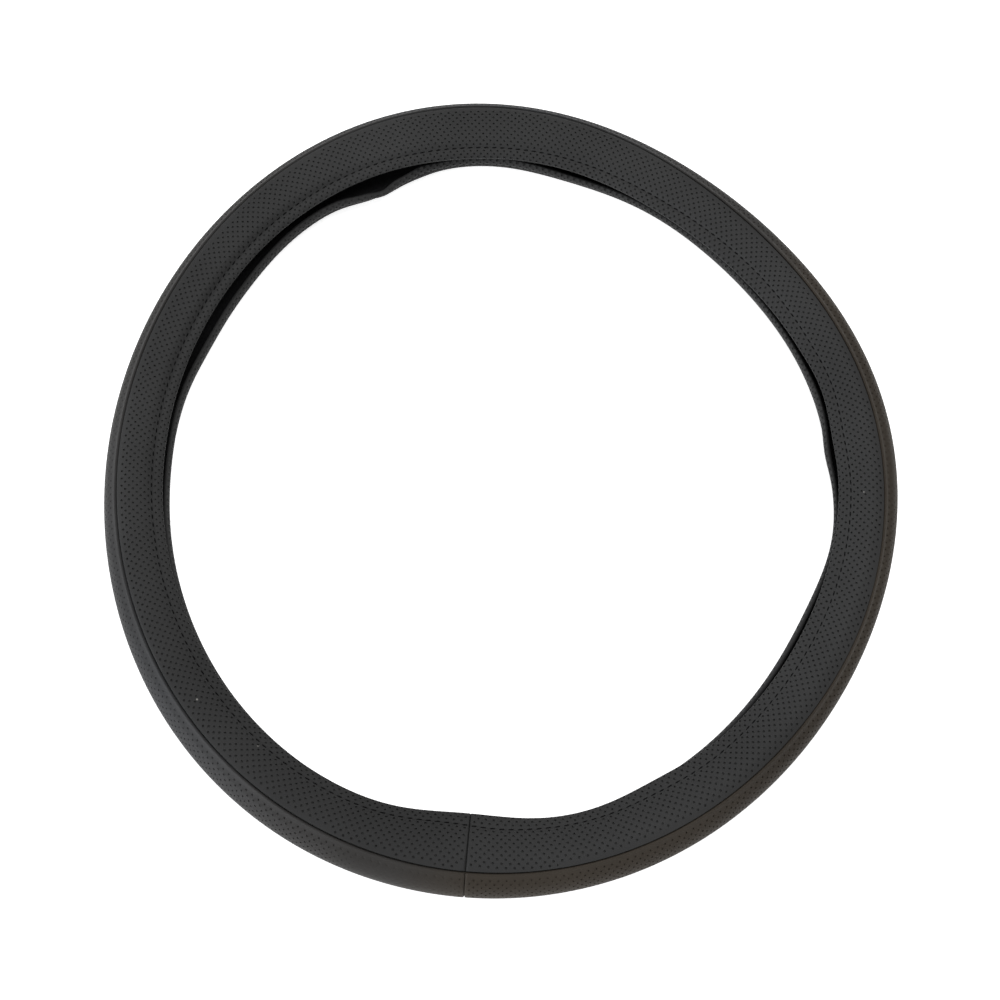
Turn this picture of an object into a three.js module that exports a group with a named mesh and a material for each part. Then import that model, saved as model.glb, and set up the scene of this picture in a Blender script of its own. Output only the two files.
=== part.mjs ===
// A steering wheel cover of perforated leather over a rubber liner, lying flat with its front face up.
// Millimetres, +Z up. The origin is on the surface it lies on, in the middle of its footprint.
// A place round the ring is a clock angle in degrees: 0 is at +Y, 90 is at +X.
import * as THREE from 'three';

// The ring, seen from above: the radius of its outer edge, and the slow waves it took in storage.
const ringRadius = 194.7;
const ringWaves = [
  { perTurn: 1, rise: 2.7, crest: 238 },
  { perTurn: 2, rise: 5.3, crest: 173 },
  { perTurn: 3, rise: 2.5, crest: 95 },
  { perTurn: 4, rise: 1.2, crest: 81 },
  { perTurn: 5, rise: 0.4, crest: 2 },
];

// The section is a C that opens towards the middle of the ring. It runs from the front lip over
// the crown, round the nose, along a flat that it rests on, and up the curl to the rear lip.
const sectionHeight = 28;
const noseDepth = 14;
const restFlat = 5;
const curlHeight = 11;
const rearLipTurn = 10;
const frontLipSlope = 33;

// How far the front lip and the curl reach in from the outer edge. A bulge is round where its
// power is 2, and comes to a point nearer 1: the rear lip has such a crease at the upper left.
const frontReach = 31.4;
const frontReachWaves = [
  { perTurn: 1, rise: 0.4, crest: 1 },
  { perTurn: 2, rise: 1.7, crest: 7 },
];
const frontReachBulges = [
  { clock: 155, spread: 8, rise: 1.7, power: 2 },
  { clock: 185, spread: 10, rise: 3.9, power: 2 },
  { clock: 352, spread: 15, rise: 2.1, power: 2 },
];
const curlReach = 30.8;
const curlReachWaves = [
  { perTurn: 1, rise: 1.4, crest: 171 },
  { perTurn: 2, rise: 0.8, crest: 141 },
  { perTurn: 3, rise: 0.5, crest: 88 },
];
const curlReachBulges = [
  { clock: 12, spread: 12, rise: 3.1, power: 2 },
  { clock: 87, spread: 4, rise: 1.1, power: 2 },
  { clock: 102, spread: 11, rise: -3.4, power: 2 },
  { clock: 306, spread: 15, rise: 3.1, power: 2 },
  { clock: 339, spread: 9, rise: 8, power: 1.2 },
];

// The height of the front lip, which gapes at the upper left.
const frontLipHeight = 21.2;
const frontLipHeightWaves = [{ perTurn: 1, rise: 1, crest: 320 }];

// The leather strips and the liner under them.
const leather = 1.3;
const liner = 2.4;
const layerGap = 0.3;
const hemWidth = 9;
const edgeRound = 0.6;

// The two long seams: how far they lie past the crown and past the flat, along the leather.
const frontSeamPast = 4.9;
const frontSeamWaves = [
  { perTurn: 1, rise: 1, crest: 279 },
  { perTurn: 2, rise: 1.8, crest: 128 },
];
const frontSeamBulges = [
  { clock: 8, spread: 40, rise: 3, power: 2 },
  { clock: 116, spread: 16, rise: 1.5, power: 2 },
];
const rearSeamPast = 7;
const seamGap = 0.3;
const seamDip = 0.9;

// The cross seam, where the ends of the strips are sewn together.
const crossSeamClock = 184.5;
const crossSeamHalfAngle = 0.45;
const crossSeamDip = 0.7;

// The row of hem stitches along each lip, drawn as one bead of thread in its groove. The front
// row wanders.
const stitchFromLip = 5.7;
const frontStitchBulges = [
  { clock: 50, spread: 18, rise: 1.6, power: 2 },
  { clock: 115, spread: 21, rise: 1.4, power: 2 },
  { clock: 153, spread: 10, rise: 1.4, power: 2 },
  { clock: 181, spread: 6, rise: 1.6, power: 2 },
];
const stitchGroove = 0.5;
const stitchGrooveHalf = 0.8;
const thread = 0.7;

// How finely the ring and its section are divided.
const ringSteps = 90;
const frontSteps = 5;
const bandSteps = 6;
const rearNoseSteps = 2;
const curlSteps = 4;
const threadSides = 4;

const leatherBlack = 0x1e1f20;
const bandBlack = 0x232120;
const rubberBlack = 0x0b0b0c;
const threadBlack = 0x101011;

// A path adds a line of no length before an arc, so curves shorter than this are left out.
const leastCurve = 0.001;

const radians = THREE.MathUtils.degToRad;

function waved(mean, waves, bulges, clock) {
  let value = mean;
  for (const wave of waves) {
    value += wave.rise * Math.cos(wave.perTurn * radians(clock - wave.crest));
  }
  for (const bulge of bulges) {
    const away = THREE.MathUtils.euclideanModulo(clock - bulge.clock + 180, 360) - 180;
    value += bulge.rise * Math.exp(-((Math.abs(away) / bulge.spread) ** bulge.power));
  }
  return value;
}

// The outer face of the leather at one clock angle: x is the radius, y is the height.
function sectionOutline(clock) {
  const outer = waved(ringRadius, ringWaves, [], clock);
  const crown = outer - noseDepth;
  const lip = outer - waved(frontReach, frontReachWaves, frontReachBulges, clock);
  const lipHeight = waved(frontLipHeight, frontLipHeightWaves, [], clock);
  const flatIn = crown - restFlat;
  const curlIn = outer - waved(curlReach, curlReachWaves, curlReachBulges, clock);
  const halfHeight = sectionHeight / 2;
  const armBend = lip + (sectionHeight - lipHeight) / Math.tan(radians(frontLipSlope));
  const curlEnd = -Math.PI - radians(rearLipTurn);
  const outline = new THREE.Path();
  outline.moveTo(lip, lipHeight);
  outline.quadraticCurveTo(armBend, sectionHeight, crown, sectionHeight);
  outline.absellipse(crown, halfHeight, noseDepth, halfHeight, Math.PI / 2, -Math.PI / 2, true);
  outline.lineTo(flatIn, 0);
  outline.absellipse(flatIn, curlHeight, flatIn - curlIn, curlHeight, -Math.PI / 2, curlEnd, true);
  return outline.curves.filter((curve) => curve.getLength() > leastCurve);
}

function spaced(from, to, steps) {
  return Array.from({ length: steps + 1 }, (_, i) => from + ((to - from) * i) / steps);
}

// Distances along the leather from the front lip, at which every layer has a corner.
function landmarks(clock) {
  const curves = sectionOutline(clock);
  const [arm, nose, flat, curl] = curves.map((curve) => curve.getLength());
  const total = arm + nose + flat + curl;
  const frontSeam = arm + waved(frontSeamPast, frontSeamWaves, frontSeamBulges, clock);
  const rearSeam = arm + nose - rearSeamPast;
  const flatOut = arm + nose;
  const flatIn = arm + nose + flat;
  return {
    curves,
    total,
    frontSeam,
    rearSeam,
    front: spaced(hemWidth, frontSeam, frontSteps),
    band: spaced(frontSeam, rearSeam, bandSteps),
    rear: [
      ...spaced(rearSeam, flatOut, rearNoseSteps),
      ...spaced(flatIn, total - hemWidth, curlSteps),
    ],
  };
}

// A point at a distance along the leather and a depth below its outer face.
function sectionPoint(marks, along, depth) {
  let rest = along;
  let curve = marks.curves[0];
  for (const next of marks.curves) {
    curve = next;
    if (rest <= next.getLength()) break;
    if (next !== marks.curves.at(-1)) rest -= next.getLength();
  }
  const share = THREE.MathUtils.clamp(rest / curve.getLength(), 0, 1);
  const point = curve.getPointAt(share);
  const tangent = curve.getTangentAt(share);
  return new THREE.Vector2(point.x + tangent.y * depth, point.y - tangent.x * depth);
}

function clockStations() {
  const evenly = spaced(0, 360, ringSteps).slice(0, -1);
  const clear = evenly.filter((clock) => Math.abs(clock - crossSeamClock) > 2 * crossSeamHalfAngle);
  const atSeam = [-1, 0, 1].map((side) => crossSeamClock + side * crossSeamHalfAngle);
  return [...clear, ...atSeam].sort((a, b) => a - b);
}

// A closed section carried round the ring. sectionAt gives [distance along, depth] pairs.
function ringGeometry(sectionAt) {
  const stations = clockStations();
  const positions = [];
  let count = 0;
  for (const clock of stations) {
    const marks = landmarks(clock);
    const pairs = sectionAt(marks, clock);
    count = pairs.length;
    for (const [along, depth] of pairs) {
      const { x: radius, y: height } = sectionPoint(marks, along, depth);
      positions.push(radius * Math.sin(radians(clock)), radius * Math.cos(radians(clock)), height);
    }
  }
  const faces = [];
  for (let i = 0; i < stations.length; i += 1) {
    const here = i * count;
    const next = ((i + 1) % stations.length) * count;
    for (let j = 0; j < count; j += 1) {
      const k = (j + 1) % count;
      faces.push(here + j, next + j, next + k);
      faces.push(here + j, next + k, here + k);
    }
  }
  const geometry = new THREE.BufferGeometry();
  geometry.setAttribute('position', new THREE.Float32BufferAttribute(positions, 3));
  geometry.setIndex(faces);
  return geometry;
}

// How much lower the outer face lies where the cross seam pulls the leather in.
function crossSeamPull(clock) {
  return Math.abs(clock - crossSeamClock) < crossSeamHalfAngle / 2 ? crossSeamDip : 0;
}

const atDepth = (list, depth) => list.map((along) => [along, depth]);

const frontStitch = (clock) => waved(stitchFromLip, [], frontStitchBulges, clock);

// The lip end of a strip, from its outer face round to the end of the turned hem. The hem is
// leather folded back under itself. lip is the end's place and into is the way into the strip.
function hemOutside(lip, into, stitch, pull) {
  return [
    [lip, edgeRound + pull],
    [lip + into * edgeRound, pull],
    [stitch - into * stitchGrooveHalf, pull],
    [stitch, stitchGroove + pull],
    [stitch + into * stitchGrooveHalf, pull],
  ];
}

function hemInside(lip, into) {
  return [
    [lip + into * hemWidth, 2 * leather],
    [lip + into * edgeRound, 2 * leather],
    [lip, 2 * leather - edgeRound],
  ];
}

function frontPanelSection(marks, clock) {
  const pull = crossSeamPull(clock);
  const edge = marks.frontSeam - seamGap / 2;
  const between = marks.front.slice(0, -1);
  return [
    ...hemOutside(0, 1, frontStitch(clock), pull),
    ...atDepth(between.slice(1), pull),
    [edge - edgeRound, pull],
    [edge, seamDip],
    [edge, leather],
    ...atDepth(between.toReversed(), leather),
    ...hemInside(0, 1),
  ];
}

function outerBandSection(marks, clock) {
  const pull = crossSeamPull(clock);
  const edges = [marks.frontSeam + seamGap / 2, marks.rearSeam - seamGap / 2];
  const between = marks.band.slice(1, -1);
  return [
    [edges[0], seamDip],
    [edges[0] + edgeRound, pull],
    ...atDepth(between, pull),
    [edges[1] - edgeRound, pull],
    [edges[1], seamDip],
    [edges[1], leather],
    ...atDepth(between.toReversed(), leather),
    [edges[0], leather],
  ];
}

function rearPanelSection(marks, clock) {
  const pull = crossSeamPull(clock);
  const edge = marks.rearSeam + seamGap / 2;
  const between = marks.rear.slice(1);
  return [
    [edge, leather],
    [edge, seamDip],
    [edge + edgeRound, pull],
    ...atDepth(between.slice(0, -1), pull),
    ...hemOutside(marks.total, -1, marks.total - stitchFromLip, pull).toReversed(),
    ...hemInside(marks.total, -1).toReversed(),
    ...atDepth(between.toReversed(), leather),
  ];
}

function linerSection(marks) {
  const top = leather + layerGap;
  const under = top + liner;
  const start = hemWidth + layerGap;
  const end = marks.total - hemWidth - layerGap;
  const middle = [...marks.front.slice(1), ...marks.band.slice(1), ...marks.rear.slice(1, -1)];
  const all = [start, ...middle, end];
  const sparse = all.filter((_, i) => i % 2 === 0 || i === all.length - 1);
  return [...atDepth(all, top), ...atDepth(sparse.toReversed(), under)];
}

function threadSection(stitch) {
  const depth = stitchGroove - layerGap - thread / 2;
  return Array.from({ length: threadSides }, (_, i) => {
    const turn = (2 * Math.PI * i) / threadSides;
    return [stitch + (thread / 2) * Math.cos(turn), depth + (thread / 2) * Math.sin(turn)];
  });
}

const frontThreadSection = (marks, clock) => threadSection(frontStitch(clock));
const rearThreadSection = (marks) => threadSection(marks.total - stitchFromLip);

function ringPiece(name, colour, roughness, sectionAt) {
  const material = new THREE.MeshStandardMaterial({ color: colour, roughness, metalness: 0 });
  const mesh = new THREE.Mesh(ringGeometry(sectionAt), material);
  mesh.name = name;
  return mesh;
}

const cover = new THREE.Group();
cover.add(ringPiece('front_panel', leatherBlack, 0.5, frontPanelSection));
cover.add(ringPiece('outer_band', bandBlack, 0.5, outerBandSection));
cover.add(ringPiece('rear_panel', leatherBlack, 0.5, rearPanelSection));
cover.add(ringPiece('liner', rubberBlack, 0.8, linerSection));
cover.add(ringPiece('front_hem_thread', threadBlack, 0.7, frontThreadSection));
cover.add(ringPiece('rear_hem_thread', threadBlack, 0.7, rearThreadSection));

// The ring isn't quite even, so its footprint is centred on the origin after it is made.
const footprint = new THREE.Box3().setFromObject(cover);
const middle = footprint.getCenter(new THREE.Vector3());
cover.position.set(-middle.x, -middle.y, -footprint.min.z);

export default cover;
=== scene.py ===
import math

import bpy
import numpy as np
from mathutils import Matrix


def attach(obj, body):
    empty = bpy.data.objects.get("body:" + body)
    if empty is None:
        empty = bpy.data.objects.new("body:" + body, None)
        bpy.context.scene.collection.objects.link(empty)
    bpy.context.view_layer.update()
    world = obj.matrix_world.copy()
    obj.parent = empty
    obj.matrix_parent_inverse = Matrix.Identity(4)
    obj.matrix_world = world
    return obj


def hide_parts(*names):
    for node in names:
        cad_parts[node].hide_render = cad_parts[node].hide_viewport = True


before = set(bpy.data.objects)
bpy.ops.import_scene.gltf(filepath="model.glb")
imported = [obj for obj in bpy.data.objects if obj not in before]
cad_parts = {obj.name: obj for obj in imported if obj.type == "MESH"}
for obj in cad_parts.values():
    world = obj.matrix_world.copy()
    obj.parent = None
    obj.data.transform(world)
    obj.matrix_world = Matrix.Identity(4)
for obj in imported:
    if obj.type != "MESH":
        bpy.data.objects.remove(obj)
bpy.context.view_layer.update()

mm = 0.001
touching = 0.01 * mm  # points nearer than this are one

# The ring and its C section, as the CAD has them. Waves are (per turn, rise, crest clock), bulges
# are (clock, spread, rise, power). Clock angles are degrees from +Y towards +X. What ends in Ease
# is a small trim of the leather that the CAD leaves out.
ring = {
    "outerRadius": 194.7 * mm,
    "outerWaves": [
        (1, 2.7 * mm, 238),
        (2, 5.3 * mm, 173),
        (3, 2.5 * mm, 95),
        (4, 1.2 * mm, 81),
        (5, 0.4 * mm, 2),
    ],
    "outerEase": [(122, 58, 0.9 * mm, 4)],
    "height": 28 * mm,
    "noseDepth": 14 * mm,
    "restFlat": 5 * mm,
    "curlHeight": 11 * mm,
    "frontLipSlope": 33,
    "frontReach": 31.4 * mm,
    "frontReachWaves": [(1, 0.4 * mm, 1), (2, 1.7 * mm, 7)],
    "frontReachBulges": [(155, 8, 1.7 * mm, 2), (185, 10, 3.9 * mm, 2), (352, 15, 2.1 * mm, 2)],
    "frontReachEase": [(75, 5, -0.8 * mm, 2), (86, 5, 0.8 * mm, 2), (331, 12, 0.6 * mm, 2)],
    "curlReach": 31.2 * mm,
    "curlReachWaves": [(1, 1.4 * mm, 171), (2, 0.8 * mm, 141), (3, 0.5 * mm, 88)],
    "curlReachBulges": [
        (12, 12, 3.1 * mm, 2),
        (87, 4, 1.1 * mm, 2),
        (102, 11, -3.4 * mm, 2),
        (306, 15, 3.1 * mm, 2),
        (339, 9, 8 * mm, 1.2),
    ],
    "curlReachEase": [
        (14, 13, 0.25 * mm, 2),
        (86, 6, 0.5 * mm, 2),
        (270, 11, 0.35 * mm, 2),
        (294, 7, 1.1 * mm, 2),
        (328, 10, 0.35 * mm, 2),
        (335, 4, 1.6 * mm, 2),
        (344.5, 4, 0.5 * mm, 2),
    ],
    "frontLipHeight": 21.2 * mm,
    "frontLipHeightWaves": [(1, 1 * mm, 320)],
    "frontSeamPast": 4.9 * mm,
    "frontSeamWaves": [(1, 1 * mm, 279), (2, 1.8 * mm, 128)],
    "frontSeamBulges": [(8, 40, 3 * mm, 2), (116, 16, 1.5 * mm, 2)],
    "frontSeamEase": [(316, 40, -1.6 * mm, 4)],
    "rearSeamPast": 7 * mm,
    "leather": 1.3 * mm,
    "liner": 2.4 * mm,
    "layerGap": 0.3 * mm,
    "hemWidth": 9 * mm,
    "seamGap": 0.3 * mm,
    "crossSeamClock": 184.5,
    "stitchFromLip": 5.7 * mm,
    "frontStitchBulges": [
        (50, 18, 1.6 * mm, 2),
        (115, 21, 1.4 * mm, 2),
        (153, 10, 1.4 * mm, 2),
        (181, 6, 1.6 * mm, 2),
    ],
}
# How far the rear lip turns past the curl's innermost line, in degrees. The last three bulges are
# its crease at the upper left.
rearLip = {
    "turn": 16,
    "turnWaves": [(1, 5, 310)],
    "turnBulges": [
        (25, 16, -5, 4),
        (34, 9, -4, 2),
        (77, 9, 9, 2),
        (97, 6, -5, 2),
        (273, 10, -4, 2),
        (334.5, 3, -4, 2),
        (338, 1.7, -10.5, 2),
        (346.3, 2.2, 7, 2),
    ],
}
tableStep = {"clock": 0.5, "along": 0.5 * mm, "longest": 108 * mm, "arm": 40, "nose": 80, "curl": 60}


def deselectAll():
    for thing in bpy.context.selected_objects:
        thing.select_set(False)


def makeActive(thing):
    deselectAll()
    thing.select_set(True)
    bpy.context.view_layer.objects.active = thing


def waved(mean, waves, bulges, clock):
    value = np.full_like(clock, mean)
    for perTurn, rise, crest in waves:
        value += rise * np.cos(np.radians(perTurn * (clock - crest)))
    for centre, spread, rise, power in bulges:
        away = np.abs((clock - centre + 180) % 360 - 180)
        value += rise * np.exp(-((away / spread) ** power))
    return value


# The radius and height of the leather's outer face, by clock and by distance from the front lip.
# A row has an arm from the lip up to the crown, half an ellipse for the nose, the flat, and a curl.
def sectionTable():
    clock = np.arange(0, 360 + tableStep["clock"], tableStep["clock"])
    outer = waved(ring["outerRadius"], ring["outerWaves"], ring["outerEase"], clock)[:, None]
    lipBulges = ring["frontReachBulges"] + ring["frontReachEase"]
    lip = outer - waved(ring["frontReach"], ring["frontReachWaves"], lipBulges, clock)[:, None]
    lipHeight = waved(ring["frontLipHeight"], ring["frontLipHeightWaves"], [], clock)[:, None]
    curlBulges = ring["curlReachBulges"] + ring["curlReachEase"]
    curlIn = outer - waved(ring["curlReach"], ring["curlReachWaves"], curlBulges, clock)[:, None]
    crown, height, half = outer - ring["noseDepth"], ring["height"], ring["height"] / 2
    flatIn = crown - ring["restFlat"]
    bend = lip + (height - lipHeight) / math.tan(math.radians(ring["frontLipSlope"]))
    t = np.linspace(0, 1, tableStep["arm"])
    armX = (1 - t) ** 2 * lip + 2 * t * (1 - t) * bend + t**2 * crown
    armZ = (1 - t) ** 2 * lipHeight + 2 * t * (1 - t) * height + t**2 * height
    a = np.radians(np.linspace(90, -90, tableStep["nose"]))[1:]
    noseX, noseZ = crown + ring["noseDepth"] * np.cos(a), half + half * np.sin(a) + 0 * crown
    flatX, flatZ = flatIn, 0 * flatIn
    turn = waved(rearLip["turn"], rearLip["turnWaves"], rearLip["turnBulges"], clock)[:, None]
    a = np.radians(-90 - np.linspace(0, 1, tableStep["curl"])[1:] * (90 + turn))
    curlX = flatIn + (flatIn - curlIn) * np.cos(a)
    curlZ = ring["curlHeight"] * (1 + np.sin(a))
    x = np.concatenate([armX, noseX, flatX, curlX], axis=1)
    z = np.concatenate([armZ, noseZ, flatZ, curlZ], axis=1)
    along = np.concatenate([0 * crown, np.cumsum(np.hypot(np.diff(x), np.diff(z)), axis=1)], axis=1)
    steps = np.arange(0, tableStep["longest"], tableStep["along"])
    radius = np.array([np.interp(steps, along[i], x[i]) for i in range(len(clock))])
    level = np.array([np.interp(steps, along[i], z[i]) for i in range(len(clock))])
    armEnd, noseEnd = len(t) - 1, len(t) + noseX.shape[1] - 1
    crownAlong, noseAlong, total = along[:, armEnd], along[:, noseEnd], along[:, -1]
    seamBulges = ring["frontSeamBulges"] + ring["frontSeamEase"]
    return {
        "clock": clock,
        "radius": radius,
        "level": level,
        "slopeX": np.gradient(radius, axis=1),
        "slopeZ": np.gradient(level, axis=1),
        "frontSeam": crownAlong + waved(ring["frontSeamPast"], ring["frontSeamWaves"], seamBulges, clock),
        "rearSeam": noseAlong - ring["rearSeamPast"],
        "total": total,
    }


table = sectionTable()


def byClock(name, clock):
    return np.interp(clock % 360, table["clock"], table[name])


def lookUp(name, clock, along):  # between the table's rows and columns
    grid = table[name]
    row = (clock % 360) / tableStep["clock"]
    column = np.clip(along / tableStep["along"], 0, grid.shape[1] - 1.001)
    i, j = row.astype(int), column.astype(int)
    f, g = row - i, column - j
    top = grid[i, j] * (1 - g) + grid[i, j + 1] * g
    low = grid[i + 1, j] * (1 - g) + grid[i + 1, j + 1] * g
    return top * (1 - f) + low * f


# The point at a distance past the front lip and a depth under the outer face.
def onSection(clock, along, depth):
    end = byClock("total", clock)
    reached = np.clip(along, 0, end - 1.2 * tableStep["along"])
    slopeX, slopeZ = lookUp("slopeX", clock, reached), lookUp("slopeZ", clock, reached)
    size = np.hypot(slopeX, slopeZ)
    slopeX, slopeZ = slopeX / size, slopeZ / size
    past = along - reached
    radius = lookUp("radius", clock, reached) + slopeX * past + slopeZ * depth
    level = lookUp("level", clock, reached) + slopeZ * past - slopeX * depth
    turn = np.radians(clock)
    return np.stack([radius * np.sin(turn), radius * np.cos(turn), level], axis=1)


def footprintMiddle():  # of the CAD's outline, which has none of the small visual trims
    clock = np.arange(0, 360, 0.25)
    outer = waved(ring["outerRadius"], ring["outerWaves"], [], clock)
    x, y = outer * np.sin(np.radians(clock)), outer * np.cos(np.radians(clock))
    return np.array([(x.min() + x.max()) / 2, (y.min() + y.max()) / 2, 0])


middleOfRing = footprintMiddle()


def readPoints(thing):
    flat = np.zeros(len(thing.data.vertices) * 3, np.float32)
    thing.data.vertices.foreach_get("co", flat)
    return flat.reshape(-1, 3).astype(float)


def writePoints(thing, points):
    thing.data.vertices.foreach_set("co", points.astype(np.float32).ravel())
    thing.data.update()


def editMode(on):
    bpy.ops.object.mode_set(mode="EDIT" if on else "OBJECT")


def selectVertices(thing, keep):
    editMode(False)
    thing.data.vertices.foreach_set("select", np.zeros(len(thing.data.vertices), bool))
    thing.data.edges.foreach_set("select", np.zeros(len(thing.data.edges), bool))
    thing.data.polygons.foreach_set("select", np.zeros(len(thing.data.polygons), bool))
    thing.data.vertices.foreach_set("select", keep)
    editMode(True)
    bpy.ops.mesh.select_mode(type="VERT")


def repeat(thing, count, step):
    array = thing.modifiers.new("repeat", "ARRAY")
    array.count = count
    array.use_relative_offset = False
    array.use_constant_offset = True
    array.constant_offset_displace = step
    array.use_merge_vertices = True
    array.merge_threshold = touching
    bpy.ops.object.modifier_apply(modifier=array.name)


def perforatedTile(name, pitch, hole):  # a square of flat leather with two holes on its diagonal
    half = pitch / 2
    spot = (half / 2, half / 2, 0)
    deselectAll()
    bpy.ops.mesh.primitive_plane_add(size=half, location=spot)
    tile = bpy.context.object
    tile.name = name
    tile.data.name = name
    bpy.ops.object.transform_apply(location=True, rotation=False, scale=False)
    editMode(True)
    bpy.ops.mesh.delete(type="ONLY_FACE")
    bpy.ops.mesh.primitive_circle_add(
        vertices=hole["sides"], radius=hole["radius"], fill_type="NOTHING", location=spot
    )
    bpy.ops.mesh.select_all(action="SELECT")
    bpy.ops.mesh.bridge_edge_loops()
    editMode(False)
    points = readPoints(tile)
    selectVertices(tile, np.hypot(points[:, 0] - spot[0], points[:, 1] - spot[1]) < hole["radius"] * 1.05)
    bpy.ops.mesh.extrude_region_move(TRANSFORM_OT_translate={"value": (0, 0, -hole["depth"])})
    bpy.ops.transform.resize(value=(hole["taper"], hole["taper"], 1))
    bpy.ops.mesh.edge_face_add()
    bpy.ops.mesh.select_all(action="SELECT")
    bpy.ops.mesh.duplicate_move(TRANSFORM_OT_translate={"value": (half, half, 0)})
    bpy.ops.mesh.primitive_plane_add(size=half, location=(spot[0] + half, spot[1], 0))
    bpy.ops.mesh.primitive_plane_add(size=half, location=(spot[0], spot[1] + half, 0))
    bpy.ops.mesh.select_all(action="SELECT")
    bpy.ops.mesh.remove_doubles(threshold=touching)
    editMode(False)
    return tile


def extendEdge(thing, axis, place, steps):  # rows of plain faces past one edge of the flat sheet
    for step in steps:
        points = readPoints(thing)
        selectVertices(thing, np.abs(points[:, axis] - place) < touching)
        shift = [0, 0, 0]
        shift[axis] = step
        bpy.ops.mesh.extrude_region_move(TRANSFORM_OT_translate={"value": shift})
        editMode(False)
        place += step


# The strips. A row of a strip is (share of its width, share of the field's end, distance past that,
# depth). "under" rows go from the field of holes to the start edge and "over" rows away from it.
# An edge along a seam is (distance back from the edge, depth), in millimetres.
seamEdge = [(0.6, 0.03), (0.4, 0.12), (0.2, 0.32), (0.05, 0.7), (0, 1.3)]
seamRidge = [
    (2, 0.03),
    (1.5, -0.04),
    (1.1, -0.18),
    (0.75, -0.3),
    (0.42, -0.27),
    (0.18, -0.06),
    (0.03, 0.4),
    (0, 1.3),
]
foldTurns = [10, -15, -40, -65, -90]
crossMargins = [0.5 * mm, 0.3 * mm, 0.16 * mm, 0.12 * mm, 0.12 * mm]


def lipRows():  # from the field of holes round the folded lip to the raw end of the hem
    fold, hem = ring["leather"], ring["hemWidth"]
    rows = []
    for turn in foldTurns:
        a = math.radians(turn)
        rows.append((0, 0, fold - fold * math.cos(a), fold - fold * math.sin(a)))
    return rows + [(0, 0, share * hem, 2 * fold) for share in (0.4, 0.7, 1)] + [(0, 0, hem, fold)]


def seamRows(profile):
    return [(1, 0, -back * mm, down * mm) for back, down in profile]


def innerRows(lastOffset, steps):  # the flesh side, from the far edge back to the first
    shares = [1 - (i + 1) / steps for i in range(steps)]
    return [(share, 0, lastOffset * (1 - share), ring["leather"]) for share in shares]


def frontStitch(clock):
    return waved(ring["stitchFromLip"], [], ring["frontStitchBulges"], clock)


# "flat" is the strip's cut size. "seamShare" is how deep the cross seam pulls it in, and "fading"
# is where its holes are shallower.
frontPanel = {
    "name": "front_panel_leather",
    "replaces": "front_panel",
    "slot": "panel_leather",
    "flat": (36 * mm, 1140 * mm),
    "seamShare": 1,
    "fading": [],
    "columns": 310,
    "rows": 6,
    "pitch": 3.6 * mm,
    "hole": {"sides": 6, "radius": 0.6 * mm, "depth": 0.65 * mm, "taper": 0.8},
    "start": lambda clock: 0 * clock,
    "end": lambda clock: byClock("frontSeam", clock) - ring["seamGap"] / 2,
    "stitch": frontStitch,
    "margin": lambda clock: waved(2.5 * mm, [(1, 0.7 * mm, 330)], [(88, 42, -0.7 * mm, 4)], clock),
    "under": lipRows(),
    "over": [(0.45, 0.55, 0, 0)] + seamRows(seamEdge) + innerRows(ring["hemWidth"], 6),
}
outerBand = {
    "name": "outer_band_leather",
    "replaces": "outer_band",
    "slot": "band_leather",
    "flat": (31 * mm, 1225 * mm),
    "seamShare": 0.7,
    "fading": [(91, 9, -0.75, 2), (176, 6, -0.4, 2), (193, 9, -0.9, 4), (262, 46, -0.5, 4)],
    "columns": 338,
    "rows": 8,
    "pitch": 3.6 * mm,
    "hole": {"sides": 6, "radius": 0.5 * mm, "depth": 0.4 * mm, "taper": 0.8},
    "start": lambda clock: byClock("frontSeam", clock) + ring["seamGap"] / 2,
    "end": lambda clock: byClock("rearSeam", clock) - ring["seamGap"] / 2,
    "stitch": None,
    "margin": lambda clock: 3.6 * mm + 0 * clock,
    "under": [(0, 0, back * mm, down * mm) for back, down in seamRidge],
    "over": seamRows(seamRidge) + innerRows(0, 7),
}
rearPanel = {
    "name": "rear_panel_leather",
    "replaces": "rear_panel",
    "slot": "panel_leather",
    "flat": (44 * mm, 1130 * mm),
    "seamShare": 1,
    "fading": [],
    "columns": 306,
    "rows": 7,
    "pitch": 3.6 * mm,
    "hole": {"sides": 6, "radius": 0.6 * mm, "depth": 0.5 * mm, "taper": 0.8},
    "start": lambda clock: byClock("total", clock),
    "end": lambda clock: byClock("rearSeam", clock) + ring["seamGap"] / 2,
    "stitch": lambda clock: ring["stitchFromLip"] + 0 * clock,
    "margin": lambda clock: 2.5 * mm + 0 * clock,
    "under": lipRows(),
    "over": [(0.45, 0.55, 0, 0)] + seamRows(seamEdge) + innerRows(ring["hemWidth"], 8),
}

# The hem's three rows of holes, then a plain band for the stitches, then the wide field of holes.
hemField = {"rows": 3, "first": 0.2 * mm, "plainHalf": 0.8 * mm, "plainSteps": 8}
bandField = {"first": 2.5 * mm}
farField = {"past": 1.3 * mm, "cutShare": 0.4}  # room past the margin, and how much of a row may be cut
stitchLine = {"grooveDepth": 0.32 * mm, "grooveHalf": 0.55 * mm, "pitch": 3.9 * mm}
# The soft hollow beside the stitches, the dip of the band beside its seam, and the lip's raised bead.
hollow = {
    "past": 0.3 * mm,
    "half": 1.8 * mm,
    "depth": 0.25 * mm,
    "deeper": [(303, 34, 0.95 * mm, 2), (30, 16, 0.6 * mm, 2)],
}
bandDip = {"past": 3.3 * mm, "half": 1.3 * mm, "depth": 0.35 * mm, "deeper": [(95, 40, 0.5 * mm, 4)]}
bead = {"half": 0.5 * mm, "at": 0.75 * mm, "depth": 0.12 * mm}
crossSeam = {
    "depth": 1.1 * mm,
    "half": 0.24 * mm,
    "knotHalf": 0.25 * mm,
    "knotBack": 3.5 * mm,
    "knotLength": 3 * mm,
}


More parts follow.
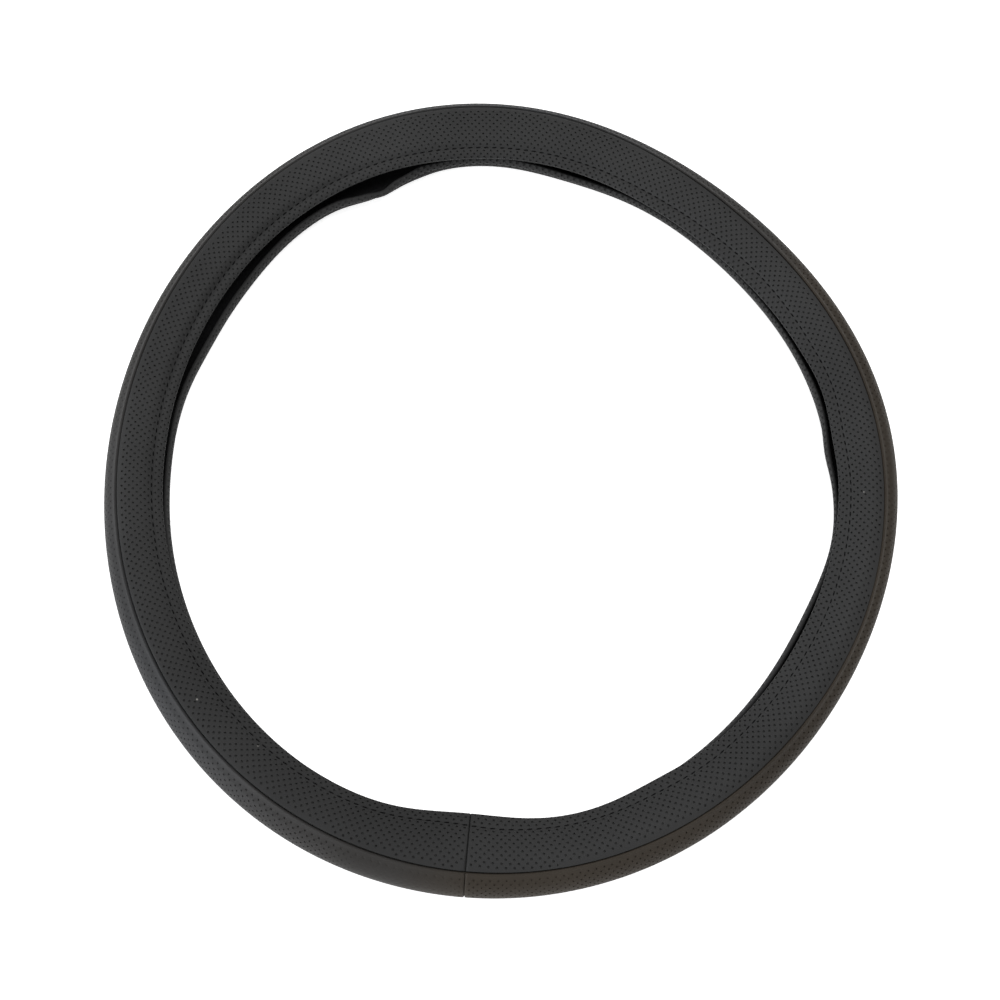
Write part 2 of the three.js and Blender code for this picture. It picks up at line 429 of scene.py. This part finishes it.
def stitchesRound():
    return round(2 * math.pi * (ring["outerRadius"] - ring["frontReach"]) / stitchLine["pitch"])


def bump(value, centre, half):
    return np.exp(-(((value - centre) / half) ** 2))


def crossSeamPull(clock, fromSeam):
    away = np.abs((clock - ring["crossSeamClock"] + 180) % 360 - 180)
    away = np.radians(away) * ring["outerRadius"]
    knot = bump(fromSeam, crossSeam["knotBack"], crossSeam["knotLength"])
    half = crossSeam["half"] + crossSeam["knotHalf"] * knot
    return crossSeam["depth"] * np.exp(-((away / half) ** 1.5))


def surfacePull(piece, clock, fromStart, width):  # how far seams and stitches pull the outer face in
    pull = crossSeamPull(clock, width - fromStart) * piece["seamShare"]
    if piece["stitch"]:
        past = fromStart - piece["stitch"](clock)
        pull += stitchLine["grooveDepth"] * bump(past, 0, stitchLine["grooveHalf"])
        depth = waved(hollow["depth"], [], hollow["deeper"], clock)
        pull += depth * bump(past, hollow["past"], hollow["half"])
        pull -= bead["depth"] * bump(fromStart, bead["at"], bead["half"])
    else:
        depth = waved(bandDip["depth"], [], bandDip["deeper"], clock)
        pull += depth * bump(fromStart, bandDip["past"], bandDip["half"])
    return pull


def hemSheet(row, piece):  # the three rows of holes beside the lip and the plain band past them
    makeActive(row)
    bpy.ops.object.duplicate()
    hem = bpy.context.object
    step = piece["pitch"] / 2
    repeat(hem, 2, (0, piece["pitch"], 0))
    selectVertices(hem, readPoints(hem)[:, 1] < 0.98 * step)
    bpy.ops.mesh.delete(type="VERT")
    editMode(False)
    writePoints(hem, readPoints(hem) - (0, step, 0))
    plain = [2 * hemField["plainHalf"] / hemField["plainSteps"]] * hemField["plainSteps"]
    extendEdge(hem, 1, hemField["rows"] * step, plain)
    return hem


def flatStrip(piece):
    pitch, step = piece["pitch"], piece["pitch"] / 2
    strip = perforatedTile(piece["name"], pitch, piece["hole"])
    repeat(strip, piece["columns"], (pitch, 0, 0))
    hemHigh = 0
    if piece["stitch"]:
        hem = hemSheet(strip, piece)
        hemHigh = hemField["rows"] * step + 2 * hemField["plainHalf"]
    makeActive(strip)
    repeat(strip, piece["rows"], (0, pitch, 0))
    writePoints(strip, readPoints(strip) + (0, hemHigh, 0))
    if piece["stitch"]:
        hem.select_set(True)
        bpy.ops.object.join()
        editMode(True)
        bpy.ops.mesh.select_all(action="SELECT")
        bpy.ops.mesh.remove_doubles(threshold=touching)
        editMode(False)
    high = hemHigh + piece["rows"] * pitch
    extendEdge(strip, 1, 0, [-step] * len(piece["under"]))
    extendEdge(strip, 1, high, [step] * len(piece["over"]))
    extendEdge(strip, 0, 0, [-margin for margin in crossMargins])
    extendEdge(strip, 0, piece["columns"] * pitch, crossMargins)
    return strip, hemHigh, high


def fieldPlaces(piece, y, clock, width, hemHigh, high):  # how far each row lies from the strip's start edge
    step, margin = piece["pitch"] / 2, piece["margin"](clock)
    if piece["stitch"]:
        first, half = hemField["first"], hemField["plainHalf"]
        stitchAt, hemTop = piece["stitch"](clock), hemField["rows"] * step
        past = stitchAt + half + y - hemHigh
        hem = first + y * (stitchAt - half - first) / hemTop
        places = np.where(y < hemTop, hem, past)
        base = stitchAt + half
    else:
        places, base = bandField["first"] + y, bandField["first"] + 0 * clock
    limit = width - margin + step / 2
    last = base + high - hemHigh
    fieldEnd = np.minimum(last, width - margin + farField["past"])
    crowded = (places - limit) / np.maximum(last - limit, touching)
    places = np.where(places > limit, limit + crowded * (fieldEnd - limit), places)
    middle = base + (np.floor((y - hemHigh) / step) + 0.5) * step
    isOpen = (y < hemHigh) | (middle < limit - farField["cutShare"] * step)
    return places, fieldEnd, isOpen


# Rows of holes that the far seam would cut are closed and pushed together.
def wrapStrip(strip, piece, hemHigh, high):
    pitch, step = piece["pitch"], piece["pitch"] / 2
    points = readPoints(strip)
    margin = sum(crossMargins)
    length = piece["columns"] * pitch + 2 * margin
    clock = ring["crossSeamClock"] + 360 * np.clip((points[:, 0] + margin) / length, 0, 1)
    start, end = piece["start"](clock), piece["end"](clock)
    width = np.abs(end - start)
    places, fieldEnd, isOpen = fieldPlaces(piece, points[:, 1], clock, width, hemHigh, high)
    under, over = piece["under"][::-1], piece["over"]
    rows = np.array(under + [(0, 0, 0, 0), (0, 1, 0, 0)] + over)
    stations = [-step * (len(under) - i) for i in range(len(under))] + [0, high]
    stations += [high + step * (i + 1) for i in range(len(over))]
    ofWidth, ofField, past, depth = (np.interp(points[:, 1], stations, rows[:, k]) for k in range(4))
    isField = (points[:, 1] > -touching) & (points[:, 1] < high + touching)
    fromStart = np.where(isField, places, ofWidth * width + ofField * fieldEnd + past)
    if piece["stitch"]:
        fold = ring["leather"]
        short = np.clip(fold - fromStart, 0, fold)
        depth = np.where(isField, fold - np.sqrt(fold**2 - short**2), depth)
    drop = np.where(isOpen, points[:, 2], 0) * waved(1, [], piece["fading"], clock)
    outerFace = np.clip(1 - depth / ring["leather"], 0, 1)
    depth = depth - drop + outerFace * surfacePull(piece, clock, fromStart, width)
    along = start + np.sign(end - start) * fromStart
    writePoints(strip, onSection(clock, along, depth) - middleOfRing)


smoothAngle = {"strip": 38, "stitch": 60, "liner": 50}


def closeMesh(thing, angle):  # closer points than touching, as the cut edges have rows near each other
    makeActive(thing)
    editMode(True)
    bpy.ops.mesh.select_all(action="SELECT")
    bpy.ops.mesh.remove_doubles(threshold=0.004 * mm)
    bpy.ops.mesh.normals_make_consistent(inside=False)
    bpy.ops.mesh.select_all(action="DESELECT")
    editMode(False)
    bpy.ops.object.shade_smooth_by_angle(angle=math.radians(angle))


def finishPiece(thing, replaced, material):
    thing.data.materials.clear()
    thing.data.materials.append(material)
    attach(thing, "root")
    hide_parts(replaced)


def newMaterial(name):
    material = bpy.data.materials.new(name)
    material.use_nodes = True
    nodes, links = material.node_tree.nodes, material.node_tree.links
    return material, nodes, links, nodes["Principled BSDF"]


pebble = {"randomness": 0.9, "soft": 0.25, "share": 0.6, "fineDetail": 3, "patchDetail": 2}


def grainGroup():  # fine leather grain: a height, and a mask that changes slowly over the surface
    group = bpy.data.node_groups.new("leatherGrain", "ShaderNodeTree")
    for name in ("Grain Scale", "Patch Scale"):
        group.interface.new_socket(name, in_out="INPUT", socket_type="NodeSocketFloat")
    for name in ("Height", "Patches"):
        group.interface.new_socket(name, in_out="OUTPUT", socket_type="NodeSocketFloat")
    nodes, links = group.nodes, group.links
    inputs, outputs = nodes.new("NodeGroupInput"), nodes.new("NodeGroupOutput")
    place = nodes.new("ShaderNodeTexCoord")
    pebbles = nodes.new("ShaderNodeTexVoronoi")
    pebbles.feature = "DISTANCE_TO_EDGE"
    pebbles.inputs["Randomness"].default_value = pebble["randomness"]
    soft = nodes.new("ShaderNodeMapRange")
    soft.inputs["From Max"].default_value = pebble["soft"]
    soft.interpolation_type = "SMOOTHSTEP"
    fine = nodes.new("ShaderNodeTexNoise")
    fine.inputs["Detail"].default_value = pebble["fineDetail"]
    mix = nodes.new("ShaderNodeMath")
    mix.operation = "MULTIPLY_ADD"
    mix.inputs[1].default_value = pebble["share"]
    patches = nodes.new("ShaderNodeTexNoise")
    patches.inputs["Detail"].default_value = pebble["patchDetail"]
    links.new(place.outputs["Object"], pebbles.inputs["Vector"])
    links.new(place.outputs["Object"], fine.inputs["Vector"])
    links.new(place.outputs["Object"], patches.inputs["Vector"])
    links.new(inputs.outputs["Grain Scale"], pebbles.inputs["Scale"])
    links.new(inputs.outputs["Grain Scale"], fine.inputs["Scale"])
    links.new(inputs.outputs["Patch Scale"], patches.inputs["Scale"])
    links.new(pebbles.outputs["Distance"], soft.inputs["Value"])
    links.new(soft.outputs["Result"], mix.inputs[0])
    links.new(fine.outputs["Fac"], mix.inputs[2])
    links.new(mix.outputs["Value"], outputs.inputs["Height"])
    links.new(patches.outputs["Fac"], outputs.inputs["Patches"])
    return group


leatherLook = {"grainScale": 1100, "bump": 0.22, "roughness": (0.5, 0.62), "specular": 0.08}
rubberLook = {"grainScale": 900, "bump": 0.3, "roughness": (0.7, 0.8), "specular": 0.2}
threadLook = {"grainScale": 2600, "bump": 0.4, "roughness": (0.7, 0.8), "specular": 0.03}
patch = {"scale": 14, "from": 0.35, "to": 0.65}
bumpDistance = 0.12 * mm
grain = grainGroup()


def surfaceMaterial(name, look, colours):  # the material, and the colour that its patches give
    material, nodes, links, shader = newMaterial(name)
    detail = nodes.new("ShaderNodeGroup")
    detail.node_tree = grain
    detail.inputs["Grain Scale"].default_value = look["grainScale"]
    detail.inputs["Patch Scale"].default_value = patch["scale"]
    colour = nodes.new("ShaderNodeValToRGB")
    for element, place, tone in zip(colour.color_ramp.elements, (patch["from"], patch["to"]), colours):
        element.position = place
        element.color = tone
    rough = nodes.new("ShaderNodeMapRange")
    rough.inputs["To Min"].default_value = look["roughness"][0]
    rough.inputs["To Max"].default_value = look["roughness"][1]
    bump = nodes.new("ShaderNodeBump")
    bump.inputs["Strength"].default_value = look["bump"]
    bump.inputs["Distance"].default_value = bumpDistance
    links.new(detail.outputs["Patches"], colour.inputs["Fac"])
    links.new(detail.outputs["Patches"], rough.inputs["Value"])
    links.new(detail.outputs["Height"], bump.inputs["Height"])
    links.new(colour.outputs["Color"], shader.inputs["Base Color"])
    links.new(rough.outputs["Result"], shader.inputs["Roughness"])
    links.new(bump.outputs["Normal"], shader.inputs["Normal"])
    shader.inputs["Specular IOR Level"].default_value = look["specular"]
    return material, colour.outputs["Color"]


# Painted light on the band: its colour is tinted bluish towards the left as a painted reflection of cool
# light, and brownish towards the lower right as painted warm light. Pale specks of dust lie on the front
# panel.
paintedLightTint = {
    "towards": (0.87, -0.5, 0),
    "from": -0.2,
    "to": 0.2,
    "tints": [
        (0, (1, 1, 1, 1)),
        (0.3, (0.93, 0.99, 1.08, 1)),
        (0.64, (1.02, 1, 0.98, 1)),
        (0.72, (1.14, 0.99, 0.82, 1)),
    ],
}
dust = {
    "colour": (0.34, 0.33, 0.31, 1),
    "radius": 0.42 * mm,
    "fade": (1.6, 0.6),  # times the radius, from clean leather to full dust
    "places": [(168.6, -15.9, 26.3), (171.8, -15.9, 27.1), (-108.9, -135.4, 24.6), (-136.9, -114.9, 27.8)],
}


def mixColours(material, blend, share, first, second):  # puts a mixed colour on the shader's base colour
    nodes, links = material.node_tree.nodes, material.node_tree.links
    mix = nodes.new("ShaderNodeMix")
    mix.data_type = "RGBA"
    mix.blend_type = blend
    if share is None:
        mix.inputs[0].default_value = 1
    else:
        links.new(share, mix.inputs[0])
    links.new(first, mix.inputs[6])
    if isinstance(second, tuple):
        mix.inputs[7].default_value = second
    else:
        links.new(second, mix.inputs[7])
    links.new(mix.outputs[2], nodes["Principled BSDF"].inputs["Base Color"])


def addPaintedLightTint(material, colour):
    # Painted light: tints the band's colour bluish towards the left and brownish towards the lower right,
    # as painted cool and warm light.
    nodes, links = material.node_tree.nodes, material.node_tree.links
    place = nodes.new("ShaderNodeTexCoord")
    towards = nodes.new("ShaderNodeVectorMath")
    towards.operation = "DOT_PRODUCT"
    towards.inputs[1].default_value = paintedLightTint["towards"]
    share = nodes.new("ShaderNodeMapRange")
    share.inputs["From Min"].default_value = paintedLightTint["from"]
    share.inputs["From Max"].default_value = paintedLightTint["to"]
    tint = nodes.new("ShaderNodeValToRGB")
    stops = tint.color_ramp.elements
    while len(stops) < len(paintedLightTint["tints"]):
        stops.new(0.5)
    for stop, (at, tone) in zip(stops, paintedLightTint["tints"]):
        stop.position = at
        stop.color = tone
    links.new(place.outputs["Object"], towards.inputs[0])
    links.new(towards.outputs["Value"], share.inputs["Value"])
    links.new(share.outputs["Result"], tint.inputs["Fac"])
    mixColours(material, "MULTIPLY", None, colour, tint.outputs["Color"])


def addDust(material, colour):
    nodes, links = material.node_tree.nodes, material.node_tree.links
    place = nodes.new("ShaderNodeTexCoord")
    nearest = None
    for speck in dust["places"]:
        away = nodes.new("ShaderNodeVectorMath")
        away.operation = "DISTANCE"
        away.inputs[1].default_value = [value * mm for value in speck]
        links.new(place.outputs["Object"], away.inputs[0])
        if nearest is None:
            nearest = away.outputs["Value"]
            continue
        least = nodes.new("ShaderNodeMath")
        least.operation = "MINIMUM"
        links.new(nearest, least.inputs[0])
        links.new(away.outputs["Value"], least.inputs[1])
        nearest = least.outputs["Value"]
    share = nodes.new("ShaderNodeMapRange")
    share.inputs["From Min"].default_value = dust["radius"] * dust["fade"][0]
    share.inputs["From Max"].default_value = dust["radius"] * dust["fade"][1]
    links.new(nearest, share.inputs["Value"])
    mixColours(material, "MIX", share.outputs["Result"], colour, dust["colour"])


print("materials")
panelTones = [(0.030, 0.030, 0.030, 1), (0.040, 0.040, 0.040, 1)]
bandTones = [(0.031, 0.0295, 0.028, 1), (0.041, 0.0395, 0.038, 1)]
rubberTones = [(0.008, 0.008, 0.0085, 1), (0.013, 0.013, 0.014, 1)]
threadTones = [(0.003, 0.003, 0.0032, 1), (0.005, 0.005, 0.0053, 1)]
panelLeather, panelColour = surfaceMaterial("panelLeather", leatherLook, panelTones)
addDust(panelLeather, panelColour)
bandLeather, bandColour = surfaceMaterial("bandLeather", leatherLook, bandTones)
# the band gets a painted tint of cool and warm light
addPaintedLightTint(bandLeather, bandColour)
rubber = surfaceMaterial("linerRubber", rubberLook, rubberTones)[0]
threadFibre = surfaceMaterial("hemThread", threadLook, threadTones)[0]

# A stitch's ends sink into the leather. "sides" is for its rings and its segments alike.
stitch = {
    "sides": 6,
    "length": 3.2 * mm,
    "thick": 0.78 * mm,
    "sink": 0.45 * mm,
    "rise": -0.04 * mm,
    "slant": 0.1,
}


def stitchRow(name, replaced, piece):  # one stitch, repeated along a line and laid in its groove
    deselectAll()
    bpy.ops.mesh.primitive_uv_sphere_add(
        segments=stitch["sides"], ring_count=stitch["sides"], radius=0.5, rotation=(0, math.pi / 2, 0)
    )
    row = bpy.context.object
    row.name = name
    row.data.name = name
    row.scale = (stitch["thick"], stitch["thick"], stitch["length"])
    bpy.ops.object.transform_apply(location=True, rotation=True, scale=True)
    count = stitchesRound()
    points = readPoints(row)
    share = points[:, 0] / (stitch["length"] / 2)
    points[:, 1] += stitch["slant"] * points[:, 0]
    points[:, 2] += stitch["rise"] - stitch["sink"] * share**4
    points[:, 0] += stitchLine["pitch"] / 2
    writePoints(row, points)
    repeat(row, count, (stitchLine["pitch"], 0, 0))
    points = readPoints(row)
    clock = ring["crossSeamClock"] + 360 * points[:, 0] / (count * stitchLine["pitch"])
    start, end, fromStart = piece["start"](clock), piece["end"](clock), piece["stitch"](clock)
    along = start + np.sign(end - start) * (fromStart + points[:, 1])
    depth = surfacePull(piece, clock, fromStart, np.abs(end - start)) - points[:, 2]
    writePoints(row, onSection(clock, along, depth) - middleOfRing)
    closeMesh(row, smoothAngle["stitch"])
    finishPiece(row, replaced, threadFibre)
    return row


liner = {"columns": 240, "rows": 30}


def linerPiece():  # a sheet of rubber between the two hems, closed where its ends meet
    deselectAll()
    bpy.ops.mesh.primitive_grid_add(x_subdivisions=liner["columns"], y_subdivisions=liner["rows"], size=1)
    sheet = bpy.context.object
    sheet.name = "rubber_liner"
    sheet.data.name = "rubber_liner"
    editMode(True)
    bpy.ops.mesh.select_all(action="SELECT")
    bpy.ops.mesh.extrude_region_move(TRANSFORM_OT_translate={"value": (0, 0, -1)})
    editMode(False)
    points = readPoints(sheet)
    ends = [abs(face.normal.x) > 0.9 for face in sheet.data.polygons]
    selectVertices(sheet, np.zeros(len(points), bool))
    bpy.ops.mesh.select_mode(type="FACE")
    editMode(False)
    sheet.data.polygons.foreach_set("select", ends)
    editMode(True)
    bpy.ops.mesh.delete(type="ONLY_FACE")
    editMode(False)
    clock = ring["crossSeamClock"] + 360 * (points[:, 0] + 0.5)
    first = ring["hemWidth"] + ring["layerGap"]
    last = byClock("total", clock) - first
    along = first + (last - first) * (points[:, 1] + 0.5)
    depth = ring["leather"] + ring["layerGap"] - ring["liner"] * points[:, 2]
    writePoints(sheet, onSection(clock, along, depth) - middleOfRing)
    closeMesh(sheet, smoothAngle["liner"])
    finishPiece(sheet, "liner", rubber)
    return sheet


print("leather strips")
for piece, leather in ((frontPanel, panelLeather), (outerBand, bandLeather), (rearPanel, panelLeather)):
    strip, hemHigh, high = flatStrip(piece)
    wrapStrip(strip, piece, hemHigh, high)
    closeMesh(strip, smoothAngle["strip"])
    finishPiece(strip, piece["replaces"], leather)
    print(" ", piece["name"], len(strip.data.polygons), "faces")

print("stitches and liner")
frontStitches = stitchRow("front_hem_stitches", "front_hem_thread", frontPanel)
rearStitches = stitchRow("rear_hem_stitches", "rear_hem_thread", rearPanel)
linerPiece()

photo = {
    "tilt": 18,
    "distance": 720 * mm,
    "aim": (0.14 * mm, -16.3 * mm, 14 * mm),
    "pixelsPerMm": 2.08,
    "size": 1000,
    "sensor": 36,
    "shift": (-0.0005, 0.001),
}


def makeCamera():
    tilt = math.radians(photo["tilt"])
    camera = bpy.data.objects.new("camera", bpy.data.cameras.new("camera"))
    bpy.context.scene.collection.objects.link(camera)
    x, y, z = photo["aim"]
    camera.location = (x, y - photo["distance"] * math.sin(tilt), z + photo["distance"] * math.cos(tilt))
    camera.rotation_euler = (tilt, 0, 0)
    camera.data.sensor_width = photo["sensor"]
    camera.data.lens = photo["sensor"] * photo["pixelsPerMm"] * photo["distance"] / mm / photo["size"]
    camera.data.shift_x, camera.data.shift_y = photo["shift"]
    bpy.context.scene.camera = camera


# The soft lamps: name, place, size, power and colour. They all face the middle of the ring.
lamps = [
    ("topLight", (0.1, 1.3, 1.0), 0.9, 5.5, (1, 1, 1)),
    ("lowerLeftLight", (-1.3, -0.8, 0.33), 0.9, 26, (0.98, 1, 1.03)),
    ("leftLight", (-1.4, 0.2, 0.9), 0.9, 1, (1, 1, 1)),
    ("lowerRightLight", (1.1, -1.0, 0.2), 0.6, 4.5, (1, 1, 1)),
    ("overLight", (0.35, 0.25, 1.6), 1.0, 14.5, (1, 1, 1)),
]


def softLight(name, place, size, power, colour):
    light = bpy.data.objects.new(name, bpy.data.lights.new(name, "AREA"))
    light.data.size = size
    light.data.energy = power
    light.data.color = colour
    light.location = place
    towards = -np.array(place)
    light.rotation_euler = (
        math.acos(-towards[2] / np.linalg.norm(towards)),
        0,
        math.atan2(towards[1], towards[0]) - math.pi / 2,
    )
    bpy.context.scene.collection.objects.link(light)


def seenDirectly(nodes, links):  # 1 for what the camera sees directly, in gloss or through glass
    path = nodes.new("ShaderNodeLightPath")
    value = path.outputs["Is Camera Ray"]
    for name in ("Is Glossy Ray", "Is Transmission Ray"):
        most = nodes.new("ShaderNodeMath")
        most.operation = "MAXIMUM"
        links.new(value, most.inputs[0])
        links.new(path.outputs[name], most.inputs[1])
        value = most.outputs["Value"]
    return value


paleFloor = {"size": 6, "below": 0.05 * mm, "tone": 0.86, "roughness": 0.9, "lift": 0.85}


def makeFloor():  # lifted to white where it is seen, so that no more light falls on the ring
    deselectAll()
    bpy.ops.mesh.primitive_plane_add(size=paleFloor["size"], location=(0, 0, -paleFloor["below"]))
    floor = bpy.context.object
    floor.name = "floor"
    bpy.ops.object.transform_apply(location=True, rotation=False, scale=False)
    material, nodes, links, shader = newMaterial("paleFloor")
    shader.inputs["Base Color"].default_value = (paleFloor["tone"], paleFloor["tone"], paleFloor["tone"], 1)
    shader.inputs["Roughness"].default_value = paleFloor["roughness"]
    shader.inputs["Emission Color"].default_value = (1, 1, 1, 1)
    lift = nodes.new("ShaderNodeMath")
    lift.operation = "MULTIPLY"
    lift.inputs[1].default_value = paleFloor["lift"]
    links.new(seenDirectly(nodes, links), lift.inputs[0])
    links.new(lift.outputs["Value"], shader.inputs["Emission Strength"])
    floor.data.materials.append(material)


roomLight = {"onTheRing": 0.05, "seen": 1}


def makeWorld():
    world = bpy.data.worlds.new("studio")
    bpy.context.scene.world = world
    world.use_nodes = True
    nodes, links = world.node_tree.nodes, world.node_tree.links
    background = nodes["Background"]
    background.inputs["Color"].default_value = (1, 1, 1, 1)
    strength = nodes.new("ShaderNodeMapRange")
    strength.inputs["To Min"].default_value = roomLight["onTheRing"]
    strength.inputs["To Max"].default_value = roomLight["seen"]
    links.new(seenDirectly(nodes, links), strength.inputs["Value"])
    links.new(strength.outputs["Result"], background.inputs["Strength"])


print("camera, floor and lamps")
makeCamera()
makeFloor()
makeWorld()
for lamp in lamps:
    softLight(*lamp)
bpy.context.scene.view_settings.view_transform = "Standard"
